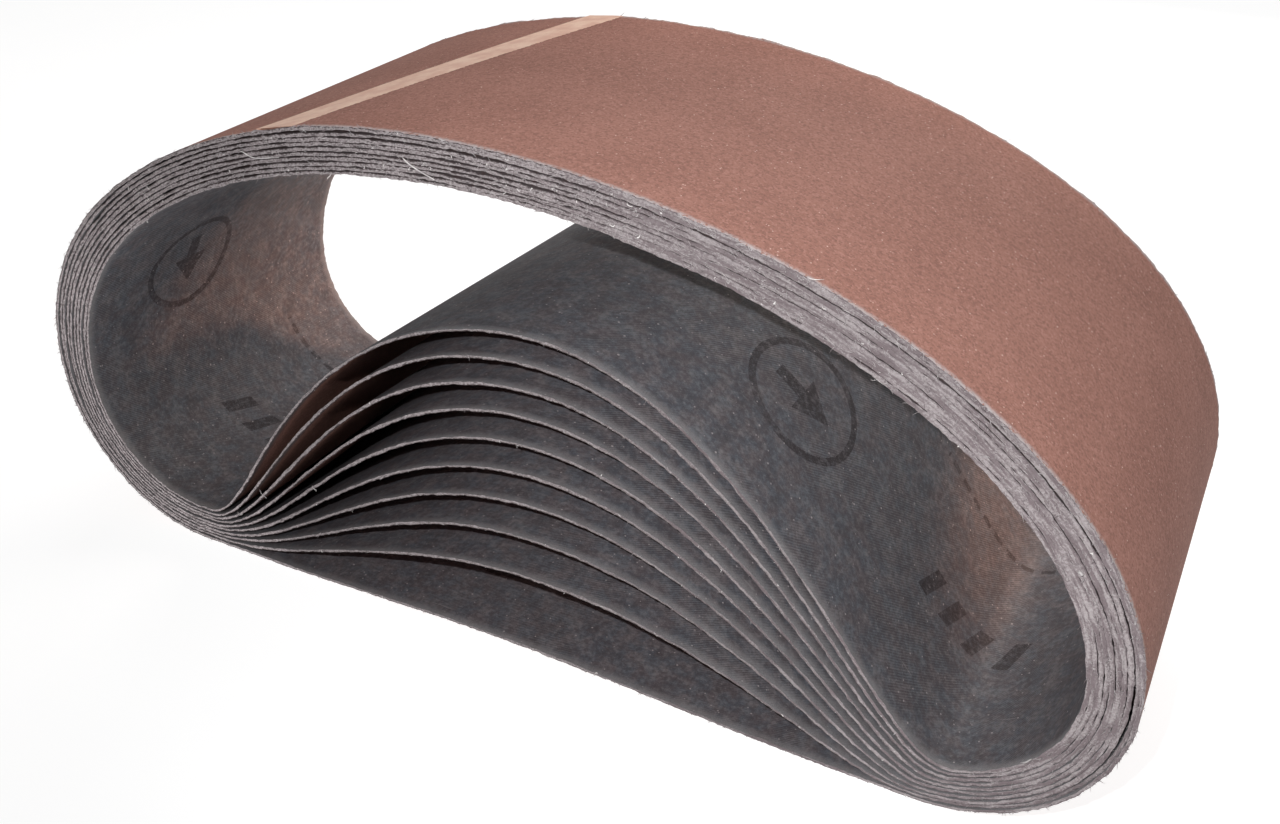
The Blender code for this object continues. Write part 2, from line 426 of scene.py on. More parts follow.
def belt_piece(belt, materials):
    """The fine mesh of one belt: grit face, back edge, cloth face and front edge."""
    columns = columns_across(COLUMNS_COARSE if belt.index else COLUMNS_FINE)
    section = [(across, 0.0) for across in columns]
    section += [(columns[-1], depth) for depth in EDGE_DEPTHS]
    section += [(across, 1.0) for across in reversed(columns)]
    section += [(columns[0], depth) for depth in reversed(EDGE_DEPTHS)]
    count = len(section)
    points = np.stack([belt.ring(across, depth) for across, depth in section], axis=1)

    step = np.arange(STATIONS)[:, None]
    place = np.arange(count)[None, :]
    after_step = (step + 1) % STATIONS
    after_place = (place + 1) % count
    faces = np.stack([step * count + place, step * count + after_place,
                      after_step * count + after_place, after_step * count + place], axis=-1)
    faces = faces.reshape(-1, 4)[:, ::-1]

    across = np.array([a for a, _ in section])
    depth = np.array([d for _, d in section])
    along = np.arange(STATIONS + 1) / STATIONS * belt.length
    near = np.broadcast_to(place, (STATIONS, count))
    far = np.broadcast_to(after_place, (STATIONS, count))
    here = np.broadcast_to(along[:-1, None], (STATIONS, count))
    there = np.broadcast_to(along[1:, None], (STATIONS, count))
    corner_along = np.stack([here, here, there, there], axis=-1).reshape(-1, 4)[:, ::-1]
    corner_place = np.stack([near, far, far, near], axis=-1).reshape(-1, 4)[:, ::-1]
    strip = np.stack([corner_along, across[corner_place]], axis=-1)
    cut = np.stack([corner_along + belt.index * BELT_SPACING, depth[corner_place]], axis=-1)

    grit_faces = slice(0, len(columns) - 1)
    cloth_faces = slice(len(columns) + len(EDGE_DEPTHS), count - len(EDGE_DEPTHS) - 1)
    slot = np.full(count, CUT_SLOT)
    slot[grit_faces] = GRIT_SLOT
    slot[cloth_faces] = CLOTH_SLOT
    slots = np.tile(slot, STATIONS)
    name = f"sanding_belt_{belt.index + 1:02d}"
    return mesh_object(name, points.reshape(-1, 3), faces, materials,
                       {"strip": strip, "cut": cut}, slots, sharp=50)


# Cut fibres on the edges
FIBRE_SEED = 500
FIBRE_SEGMENTS = 3
FIBRE_SIDES = 3
OUTER_FRONT_FIBRES = 2000
FRONT_FIBRES = 760
BACK_FIBRES = 300
FIBRE_SINK = 0.00004
FIBRE_DEPTHS = (0.1, 1.0)
FIBRE_ALONG = (0.3, 1.0)
FIBRE_OUT = (0.12, 0.7)
FIBRE_BEND_OUT = (-0.25, 0.1)
FIBRE_SPREAD = 0.28
FIBRE_LEAST = 0.00015
FIBRE_MOST = 0.0011
FIBRE_GAMMA = (1.6, 0.00026)
FIBRE_RADII = (0.00003, 0.00007)
FIBRE_TAPER = 0.65
# Length of the fibres in the fan against those on the stack
FAN_FIBRE_SHARE = 0.55


def tubes(name, roots, directions, bends, lengths, radii, material):
    """Many short tapering fibres as one mesh."""
    sides = FIBRE_SIDES
    shares = np.linspace(0.0, 1.0, FIBRE_SEGMENTS + 1)
    line = (roots[:, None, :] + directions[:, None, :] * (lengths[:, None] * shares)[..., None]
            + bends[:, None, :] * (lengths[:, None] * shares ** 2)[..., None])
    tangents = unit(directions[:, None, :] + 2 * bends[:, None, :] * shares[None, :, None])
    helper = np.where(np.abs(tangents[..., :1]) < 0.7, (1.0, 0.0, 0.0), (0.0, 0.0, 1.0))
    first = unit(np.cross(tangents, helper))
    second = np.cross(tangents, first)
    taper = radii[:, None] * (1 - FIBRE_TAPER * shares ** 2)
    angles = np.arange(sides) / sides * 2 * math.pi
    points = (line[:, :, None, :]
              + first[:, :, None, :] * (np.cos(angles) * taper[..., None])[..., None]
              + second[:, :, None, :] * (np.sin(angles) * taper[..., None])[..., None])
    count = len(roots)
    ring = (FIBRE_SEGMENTS + 1) * sides
    base = (np.arange(count) * ring)[:, None, None]
    level = (np.arange(FIBRE_SEGMENTS) * sides)[None, :, None]
    side = np.arange(sides)[None, None, :]
    after = (side + 1) % sides
    low = base + level
    quads = np.stack([low + side, low + after, low + sides + after, low + sides + side], axis=-1)
    triangles = quads.reshape(-1, 4)
    triangles = np.vstack((triangles[:, (0, 1, 2)], triangles[:, (0, 2, 3)]))
    roots_ring = np.arange(count)[:, None] * ring
    tips_ring = roots_ring + FIBRE_SEGMENTS * sides
    caps = np.vstack((roots_ring + np.arange(sides)[::-1], tips_ring + np.arange(sides)))
    return mesh_object(name, points.reshape(-1, 3), np.vstack((triangles, caps)), [material])


def fray(belt, material):
    """Cut fibres that stand off a belt's front and back edges."""
    rng = np.random.default_rng(FIBRE_SEED + belt.index)
    fringe = FRONT_FIBRES if belt.index else OUTER_FRONT_FIBRES
    groups = []
    for across, outward, count in ((0.0, -1.0, fringe), (BELT_WIDTH, 1.0, BACK_FIBRES)):
        station = rng.integers(0, STATIONS, count)
        depth = rng.uniform(*FIBRE_DEPTHS, count)
        if belt.index == 0:
            depth = depth ** 3
        low = belt.ring(across, 0.0)[station]
        high = belt.ring(across, 1.0)[station]
        roots = low + (high - low) * depth[:, None]
        roots[:, 1] -= outward * FIBRE_SINK
        _, normals = belt.middle(across)
        normal = np.column_stack((normals[station, 0], np.zeros(count), normals[station, 1]))
        tangent = np.column_stack((-normal[:, 2], np.zeros(count), normal[:, 0]))
        way = rng.choice((-1.0, 1.0), count) * rng.uniform(*FIBRE_ALONG, count)
        off = outward * rng.uniform(*FIBRE_OUT, count)
        lean = rng.normal(0, FIBRE_SPREAD, count)
        directions = unit(tangent * way[:, None] + normal * lean[:, None]
                          + np.array((0.0, 1.0, 0.0)) * off[:, None])
        bends = rng.normal(0, FIBRE_SPREAD, (count, 3))
        bends[:, 1] = outward * rng.uniform(*FIBRE_BEND_OUT, count)
        lengths = np.minimum(rng.gamma(*FIBRE_GAMMA, count) + FIBRE_LEAST, FIBRE_MOST)
        lengths *= FAN_FIBRE_SHARE + (1 - FAN_FIBRE_SHARE) * belt.in_nest()[station]
        radii = rng.uniform(*FIBRE_RADII, count)
        groups.append((roots, directions, bends, lengths, radii))
    joined = [np.concatenate([group[k] for group in groups]) for k in range(5)]
    return tubes(f"edge_fibres_{belt.index + 1:02d}", *joined, material)


# Loose threads and torn bits on the front edges: radius and places along X and Z, in millimetres
LOOSE_THREADS = (
    (0.10, (-45.0, 90.7), (-44.1, 90.74), (-43.2, 90.4), (-42.1, 90.1), (-40.9, 90.1),
     (-39.2, 90.4), (-36.4, 90.9)),
    (0.12, (-10.9, 94.7), (-9.8, 94.1), (-8.2, 93.4), (-6.5, 92.7), (-5.2, 92.1)),
    (0.05, (55.2, 88.2), (56.3, 88.3), (57.6, 88.4)),
    (0.22, (96.6, 53.5), (96.95, 53.8), (97.25, 53.5), (96.9, 53.2)),
)
# The curled end of the lap and a few torn bits, duller than the threads
TORN_BITS = (
    (0.17, (-41.9, 93.8), (-41.1, 94.5), (-40.1, 95.0), (-39.0, 95.0), (-37.7, 95.1)),
    (0.08, (-57.6, 18.7), (-56.8, 18.0), (-56.0, 17.0)),
    (0.13, (-65.4, 10.7), (-64.8, 10.3), (-64.1, 10.4)),
    (0.14, (94.9, 16.0), (95.7, 16.8), (96.4, 17.6)),
)
# How far a thread's middle bows out from the edges, in millimetres
THREAD_BOW = 0.35
THREAD_STEPS = 16
# Knots of fibre, and those in the fan, which are smaller
KNOT_SEED = 4100
KNOT_COUNT = 90
FAN_KNOT_COUNT = 60
FAN_KNOT_SHARE = 0.6
KNOT_SIZES = (0.0003, 0.0007)
KNOT_RADII = (0.00004, 0.00009)
KNOT_DEPTHS = (0.2, 0.9)
KNOT_CURL = 0.35
KNOT_FLATNESS = 0.3
KNOT_STEPS = 12
# How the stack's knots spread from its left foot to the end of the right turn
KNOT_SPREAD = (2.2, 2.8)


def thread_line(points, steps):
    """A smooth line of places through a few points."""
    points = np.array(points, dtype=float)
    known = np.linspace(0.0, 1.0, len(points))
    shares = np.linspace(0.0, 1.0, steps)
    line = np.column_stack([np.interp(shares, known, points[:, axis]) for axis in range(3)])
    for _ in range(3):
        line[1:-1] = (line[:-2] + 2 * line[1:-1] + line[2:]) / 4
    return line


def knot_lines(belts):
    """Small curled knots of fibre on the stack's front edges, most of them at the top left."""
    rng = np.random.default_rng(KNOT_SEED)
    lines = []
    for number in range(KNOT_COUNT + FAN_KNOT_COUNT):
        belt = belts[rng.integers(0, BELT_COUNT)]
        along = belt.nest_length * rng.beta(*KNOT_SPREAD)
        size = rng.uniform(*KNOT_SIZES)
        if number >= KNOT_COUNT:
            along = belt.nest_length + (belt.length - belt.nest_length) * rng.random()
            size *= FAN_KNOT_SHARE
        step = int(along / belt.length * STATIONS)
        middle = belt.ring(0.0, rng.uniform(*KNOT_DEPTHS))[step]
        turns = rng.normal(0, 1, (5, 3)).cumsum(axis=0) * size * KNOT_CURL
        turns[:, 1] = -np.abs(turns[:, 1]) * KNOT_FLATNESS
        lines.append((rng.uniform(*KNOT_RADII), thread_line(middle + turns, KNOT_STEPS)))
    return lines


def threads(name, lines, material):
    """Loose threads: square tubes along lines of places, thinner towards their ends."""
    points, faces, count = [], [], 0
    for radius, line in lines:
        tangents = unit(np.gradient(line, axis=0))
        first = unit(np.cross(tangents, (0.3, 0.9, 0.31)))
        second = np.cross(tangents, first)
        width = radius * (1 - FIBRE_TAPER * np.linspace(-1.0, 1.0, len(line)) ** 4)
        corners = np.stack((first, second, -first, -second), axis=1)
        points.append((line[:, None, :] + corners * width[:, None, None]).reshape(-1, 3))
        step = count + 4 * np.arange(len(line) - 1)[:, None]
        side = np.arange(4)[None, :]
        after = (side + 1) % 4
        sides = np.stack((step + side, step + after, step + 4 + after, step + 4 + side), axis=-1)
        last = count + 4 * (len(line) - 1)
        faces.append(sides.reshape(-1, 4))
        faces.append(np.array([[count + 3, count + 2, count + 1, count],
                               [last, last + 1, last + 2, last + 3]]))
        count += 4 * len(line)
    return mesh_object(name, np.vstack(points), np.vstack(faces), [material])


def front_lines(table):
    """Lines on the plane of the front edges that bow out a little in their middle."""
    lines = []
    for radius, *places in table:
        bow = np.sin(np.linspace(0.0, math.pi, len(places))) * THREAD_BOW
        points = [(x, FRONT_Y * MILLIMETRES - radius - lift, z)
                  for (x, z), lift in zip(places, bow)]
        line = thread_line(np.array(points) / MILLIMETRES, THREAD_STEPS)
        lines.append((radius / MILLIMETRES, line))
    return lines


class Nodes:
    """Short ways to add nodes to one material."""

    def __init__(self, name):
        self.material = bpy.data.materials.new(name)
        self.material.use_nodes = True
        self.tree = self.material.node_tree
        self.shader = self.tree.nodes["Principled BSDF"]

    def add(self, kind, *inputs, **settings):
        """A node with its inputs fed in order."""
        node = self.tree.nodes.new(kind)
        for key, value in settings.items():
            setattr(node, key, value)
        for socket, value in zip(node.inputs, inputs):
            self.feed(socket, value)
        return node

    def feed(self, socket, value):
        """Links a socket to a socket, or sets a plain value."""
        if isinstance(value, bpy.types.NodeSocket):
            self.tree.links.new(value, socket)
        elif value is not None:
            socket.default_value = value

    def math(self, operation, *values):
        return self.add("ShaderNodeMath", *values, operation=operation).outputs[0]

    def vector(self, x, y, z=0.0):
        return self.add("ShaderNodeCombineXYZ", x, y, z).outputs[0]

    def split(self, vector):
        return self.add("ShaderNodeSeparateXYZ", vector).outputs

    def uv(self, name):
        return self.split(self.add("ShaderNodeUVMap", uv_map=name).outputs[0])

    def noise(self, vector, scale, detail=2.0, roughness=0.5):
        node = self.add("ShaderNodeTexNoise")
        self.feed(node.inputs["Vector"], vector)
        node.inputs["Scale"].default_value = scale
        node.inputs["Detail"].default_value = detail
        node.inputs["Roughness"].default_value = roughness
        return node.outputs["Fac"]

    def cells(self, vector, scale):
        """Voronoi cells: distance from each cell's middle, and a random number for each."""
        node = self.add("ShaderNodeTexVoronoi")
        self.feed(node.inputs["Vector"], vector)
        node.inputs["Scale"].default_value = scale
        return node.outputs["Distance"], self.split(node.outputs["Color"])[0]

    def ramp(self, value, low, high, start=0.0, end=1.0):
        """A smooth step from start at low to end at high."""
        node = self.add("ShaderNodeMapRange", value, low, high, start, end)
        node.interpolation_type = "SMOOTHSTEP"
        return node.outputs[0]

    def mix(self, share, first, second):
        node = self.add("ShaderNodeMix", data_type="RGBA")
        self.feed(node.inputs["Factor"], share)
        self.feed(node.inputs[6], first)
        self.feed(node.inputs[7], second)
        return node.outputs[2]

    def bump(self, height, distance, strength):
        node = self.add("ShaderNodeBump")
        node.inputs["Strength"].default_value = strength
        node.inputs["Distance"].default_value = distance
        self.feed(node.inputs["Height"], height)
        self.feed(self.shader.inputs["Normal"], node.outputs[0])

    def finish(self, colour, roughness, specular):
        """Feeds the shader and gives the material."""
        self.feed(self.shader.inputs["Base Color"], colour)
        self.feed(self.shader.inputs["Roughness"], roughness)
        self.shader.inputs["Specular IOR Level"].default_value = specular
        return self.material


# Colours
GRIT = (0.335, 0.158, 0.122, 1.0)
GRIT_DARK = (0.20, 0.094, 0.075, 1.0)
GRIT_LIGHT = (0.47, 0.245, 0.20, 1.0)
# Colour of the painted glints on a few grains
GRIT_PAINTED_GLINT = (0.85, 0.68, 0.60, 1.0)
CLOTH = (0.112, 0.101, 0.112, 1.0)
CLOTH_DARK = (0.054, 0.048, 0.053, 1.0)
CLOTH_LIGHT = (0.27, 0.26, 0.265, 1.0)
CLOTH_WARM = (0.122, 0.104, 0.112, 1.0)
CLOTH_COOL = (0.090, 0.102, 0.124, 1.0)
PRINT = (0.034, 0.028, 0.032, 1.0)
EDGE_CLOTH = (0.232, 0.192, 0.200, 1.0)
EDGE_PALE = (0.50, 0.45, 0.455, 1.0)
EDGE_MAUVE = (0.155, 0.115, 0.125, 1.0)
EDGE_EVEN = (0.225, 0.195, 0.202, 1.0)
EDGE_DARK = (0.035, 0.026, 0.028, 1.0)
EDGE_GRIT = (0.040, 0.023, 0.024, 1.0)
FIBRE = (0.50, 0.47, 0.47, 1.0)
THREAD = (0.86, 0.83, 0.81, 1.0)
SPLICE = (0.76, 0.48, 0.38, 1.0)
SPLICE_PALE = (0.90, 0.66, 0.53, 1.0)
FLOOR_DARK = (0.28, 0.28, 0.28, 1.0)
FLOOR_LIGHT = (0.32, 0.32, 0.32, 1.0)
WHITE = (1.0, 1.0, 1.0, 1.0)
# The pattern's place along, in metres, past which it lies on an inner belt
INNER_BELTS_FROM = 0.62
# Sizes of the patterns, in millimetres
TWILL_PITCH = 0.67
CLOTH_RIM = 2.2
GRIT_RIM = 1.3
# Reach of the painted shade near the edges of the inner belts' grit faces
GAP_SHADE_RIM = 3.5
CLOTH_FLECKS = ((0.75, 0.15), (0.42, 0.11))
# Where the front edges lie in the fan: places along X and Z, in metres
FAN_LEFT = (-0.062, -0.045)
FAN_RIGHT = (0.055, 0.075)
FAN_TOP = (0.066, 0.072)
# How much darker the front edges in the fan are painted: painted shade
FAN_PAINTED_SHADE = -0.30
# Painted light and shade on the front edges, by place: from, to, and the share of light at each;
# lighter on the left, darker towards the top and on the right
PAINTED_LIGHT_ON_LEFT = (-0.10, -0.045, 1.7, 1.2)
PAINTED_SHADE_ON_RIGHT = (0.06, 0.10, 1.0, 0.88)
PAINTED_SHADE_ON_TOP = (0.045, 0.085, 1.0, 0.66)


def strip_vector(nodes):
    """Place on the strip in millimetres, different from belt to belt."""
    along = nodes.math("MULTIPLY", nodes.uv("cut")[0], MILLIMETRES)
    across = nodes.math("MULTIPLY", nodes.uv("strip")[1], MILLIMETRES)
    return nodes.vector(along, across), along, across


def rim_share(nodes, across, reach):
    """1 at the belt's two edges, falling to 0 within a reach in millimetres."""
    width = BELT_WIDTH * MILLIMETRES
    from_edge = nodes.math("MINIMUM", across, nodes.math("SUBTRACT", width, across))
    return nodes.ramp(from_edge, 0.0, reach, 1.0, 0.0)


def grit_material():
    """Reddish brown abrasive grains, with dark grains, a few pale grains painted as glints, and
    painted shade near the edges of the inner belts.
    """
    nodes = Nodes("grit_face")
    place, _, across = strip_vector(nodes)
    distance, grain = nodes.cells(place, 2.9)
    _, flake = nodes.cells(place, 1.15)
    fine = nodes.noise(place, 4.0, 3.0, 0.65)
    clump = nodes.noise(place, 0.9, 3.0, 0.7)
    blotch = nodes.noise(place, 0.06, 3.0, 0.5)
    colour = nodes.mix(nodes.ramp(blotch, 0.3, 0.7), GRIT_DARK, GRIT_LIGHT)
    colour = nodes.mix(0.80, colour, GRIT)
    colour = nodes.mix(nodes.ramp(grain, 0.0, 0.5, 0.62, 0.0), colour, GRIT_DARK)
    colour = nodes.mix(nodes.ramp(grain, 0.65, 1.0, 0.0, 0.55), colour, GRIT_LIGHT)
    colour = nodes.mix(nodes.ramp(clump, 0.35, 0.5, 0.25, 0.0), colour, GRIT_DARK)
    colour = nodes.mix(nodes.ramp(clump, 0.5, 0.65, 0.0, 0.22), colour, GRIT_LIGHT)
    colour = nodes.mix(nodes.ramp(fine, 0.42, 0.62, 0.0, 0.25), colour, GRIT_LIGHT)
    # Painted glints: a few grains are painted pale to stand for glints of light; they are also
    # made smoother, which is real shine
    centre = nodes.ramp(distance, 0.16, 0.34, 1.0, 0.0)
    painted_glint_and_shine = nodes.math("MULTIPLY", nodes.ramp(grain, 0.955, 0.975), centre)
    painted_glint_and_shine = nodes.math("MULTIPLY", painted_glint_and_shine, nodes.ramp(flake, 0.45, 0.7))
    colour = nodes.mix(painted_glint_and_shine, colour, GRIT_PAINTED_GLINT)
    worn = nodes.noise(place, 1.6, 3.0, 0.6)
    rim = nodes.math("MULTIPLY", rim_share(nodes, across, GRIT_RIM), nodes.ramp(worn, 0.34, 0.52))
    colour = nodes.mix(nodes.math("MULTIPLY", rim, 0.95), colour, EDGE_PALE)
    # Painted shade: near both edges, the grit faces of the inner belts, seen only in the gaps
    # under the arches, are painted almost black
    inner = nodes.math("GREATER_THAN", nodes.uv("cut")[0], INNER_BELTS_FROM)
    painted_gap_shade = nodes.math("MULTIPLY", inner, rim_share(nodes, across, GAP_SHADE_RIM))
    colour = nodes.mix(nodes.math("MULTIPLY", painted_gap_shade, 0.92), colour, EDGE_DARK)
    grains = nodes.math("SUBTRACT", nodes.math("MULTIPLY", grain, 0.6), distance)
    nodes.bump(nodes.math("ADD", grains, fine), 0.00007, 0.55)
    return nodes.finish(colour, nodes.ramp(painted_glint_and_shine, 0.0, 1.0, 0.88, 0.3), 0.25)


# Plain faded print that repeats along the cloth side, in millimetres; a place is a middle and
# how far the shape reaches from it
PRINT_REPEAT = 163.6
PRINT_PHASE = 143.2
PRINT_WOBBLE = 0.5
RING_ACROSS = 28.0
RING_RADIUS = 11.5
RING_HALF_LINE = 0.75
HEAD_SLOPE = 0.64
HEAD_TIP = 3.9
HEAD_PLACE = (-2.5, 3.6)
SHAFT_HALF_WIDTH = 1.4
SHAFT_PLACE = (4.0, 3.0)
BARS_ACROSS = 30.0
BARS_PLACE = (-49.0, 14.0)
BAR_HALF_LENGTH = 3.8
BAR_SLANT = 0.35
BAR_PITCH = 7.0
BAR_WIDTH = 3.0
DASH_ACROSS = 57.0
DASH_PLACE = (-48.0, 19.0)
DASH_HALF_LINE = 0.65
DASH_PITCH = 4.2
DASH_LENGTH = 2.7


def print_mask(nodes, along, across, wobble):
    """1 where the faded print lies: a ring with an arrow in it, slanted bars and a dashed line."""
    shift = nodes.math("MULTIPLY", nodes.math("SUBTRACT", wobble, 0.5), PRINT_WOBBLE)
    start = nodes.math("ADD", nodes.math("SUBTRACT", along, PRINT_PHASE), shift)
    place = nodes.math("WRAP", start, PRINT_REPEAT / 2, -PRINT_REPEAT / 2)
    side = nodes.math("ADD", nodes.math("SUBTRACT", across, RING_ACROSS), shift)
    off_axis = nodes.math("ABSOLUTE", side)

    def within(value, middle, reach):
        return nodes.math("COMPARE", value, middle, reach)

    def both(first, second):
        return nodes.math("MULTIPLY", first, second)

    radius = nodes.add("ShaderNodeVectorMath", nodes.vector(place, side), operation="LENGTH")
    ring = within(radius.outputs["Value"], RING_RADIUS, RING_HALF_LINE)
    spread = nodes.math("MULTIPLY_ADD", place, HEAD_SLOPE, HEAD_TIP)
    head = both(nodes.math("LESS_THAN", off_axis, spread), within(place, *HEAD_PLACE))
    shaft = both(within(off_axis, 0.0, SHAFT_HALF_WIDTH), within(place, *SHAFT_PLACE))
    row = nodes.math("SUBTRACT", across, BARS_ACROSS)
    slanted = nodes.math("MULTIPLY_ADD", row, BAR_SLANT, place)
    stripes = nodes.math("LESS_THAN", nodes.math("WRAP", slanted, BAR_PITCH, 0.0), BAR_WIDTH)
    bars = both(both(stripes, within(row, 0.0, BAR_HALF_LENGTH)), within(slanted, *BARS_PLACE))
    dashes = nodes.math("LESS_THAN", nodes.math("WRAP", place, DASH_PITCH, 0.0), DASH_LENGTH)
    line = both(within(across, DASH_ACROSS, DASH_HALF_LINE), within(place, *DASH_PLACE))
    total = both(dashes, line)
    for shape in (ring, head, shaft, bars):
        total = nodes.math("MAXIMUM", total, shape)
    return total


def cloth_material():
    """Dark grey twill backing: faint weave, flecks, scratches, faded print, pale fluffy rims."""
    nodes = Nodes("cloth_backing")
    place, along, across = strip_vector(nodes)
    total = nodes.math("ADD", along, across)
    apart = nodes.math("SUBTRACT", along, across)
    warp = nodes.noise(place, 0.35, 2.0, 0.5)
    wave = nodes.math("MULTIPLY_ADD", total, 2 * math.pi / TWILL_PITCH,
                      nodes.math("MULTIPLY", warp, 4.0))
    ridge = nodes.math("MULTIPLY_ADD", nodes.math("SINE", wave), 0.5, 0.5)
    broken = nodes.noise(nodes.vector(apart, nodes.math("MULTIPLY", total, 3.0)), 0.9, 2.0, 0.6)
    patch = nodes.noise(place, 0.05, 3.0, 0.55)
    tint = nodes.noise(nodes.vector(across, along), 0.28, 3.0, 0.6)
    mottle = nodes.noise(place, 0.9, 4.0, 0.75)
    fuzz = nodes.noise(place, 4.5, 2.0, 0.7)
    colour = nodes.mix(nodes.ramp(tint, 0.35, 0.65), CLOTH_COOL, CLOTH_WARM)
    colour = nodes.mix(0.15, colour, CLOTH)
    cloud = nodes.noise(place, 0.22, 4.0, 0.6)
    colour = nodes.mix(nodes.ramp(cloud, 0.34, 0.52, 0.45, 0.0), colour, CLOTH_DARK)
    colour = nodes.mix(nodes.ramp(cloud, 0.48, 0.66, 0.0, 0.22), colour, CLOTH_LIGHT)
    colour = nodes.mix(nodes.ramp(mottle, 0.36, 0.56, 0.60, 0.0), colour, CLOTH_DARK)
    colour = nodes.mix(nodes.ramp(mottle, 0.50, 0.70, 0.0, 0.34), colour, CLOTH_LIGHT)
    woven = nodes.math("MULTIPLY", nodes.ramp(patch, 0.42, 0.56, 0.12, 1.0),
                       nodes.ramp(broken, 0.36, 0.58, 0.2, 1.0))
    colour = nodes.mix(nodes.math("MULTIPLY", woven, nodes.ramp(ridge, 0.0, 0.5, 0.45, 0.0)),
                       colour, CLOTH_DARK)
    colour = nodes.mix(nodes.math("MULTIPLY", woven, nodes.ramp(ridge, 0.5, 1.0, 0.0, 0.24)),
                       colour, CLOTH_LIGHT)
    printed = print_mask(nodes, along, across, fuzz)
    worn = nodes.ramp(mottle, 0.42, 0.66, 0.95, 0.45)
    faded = nodes.math("MULTIPLY", worn, nodes.ramp(patch, 0.30, 0.50, 0.6, 1.0))
    colour = nodes.mix(nodes.math("MULTIPLY", printed, faded), colour, PRINT)
    colour = nodes.mix(nodes.ramp(fuzz, 0.56, 0.72, 0.0, 0.35), colour, CLOTH_LIGHT)
    for scale, size in CLOTH_FLECKS:
        distance, chance = nodes.cells(place, scale)
        dot = nodes.math("MULTIPLY", nodes.ramp(distance, size / 2, size, 1.0, 0.0),
                         nodes.ramp(chance, 0.45, 0.85))
        colour = nodes.mix(nodes.math("MULTIPLY", dot, 0.6), colour, EDGE_PALE)
    for turned, steep in ((nodes.vector(nodes.math("MULTIPLY", apart, 0.10), total), 0.0),
                          (nodes.vector(nodes.math("MULTIPLY", along, 0.08), across), 40.0)):
        moved = nodes.add("ShaderNodeVectorMath", turned, (steep, steep, 0.0), operation="ADD")
        line = nodes.noise(moved.outputs[0], 1.7, 2.0, 0.5)
        rare = nodes.ramp(nodes.noise(place, 0.16, 2.0, 0.5), 0.52, 0.66)
        scratch = nodes.math("MULTIPLY", nodes.ramp(line, 0.66, 0.74, 0.0, 0.45), rare)
        colour = nodes.mix(scratch, colour, CLOTH_LIGHT)
    ragged = nodes.ramp(fuzz, 0.25, 0.6, 0.25, 0.75)
    rim = nodes.math("MULTIPLY", rim_share(nodes, across, CLOTH_RIM), ragged)
    colour = nodes.mix(rim, colour, CLOTH_LIGHT)
    height = nodes.math("MULTIPLY_ADD", nodes.math("MULTIPLY", ridge, woven), 0.7,
                        nodes.math("ADD", mottle, fuzz))
    nodes.bump(height, 0.00005, 0.6)
    return nodes.finish(colour, nodes.ramp(fuzz, 0.3, 0.7, 0.62, 0.78), 0.3)


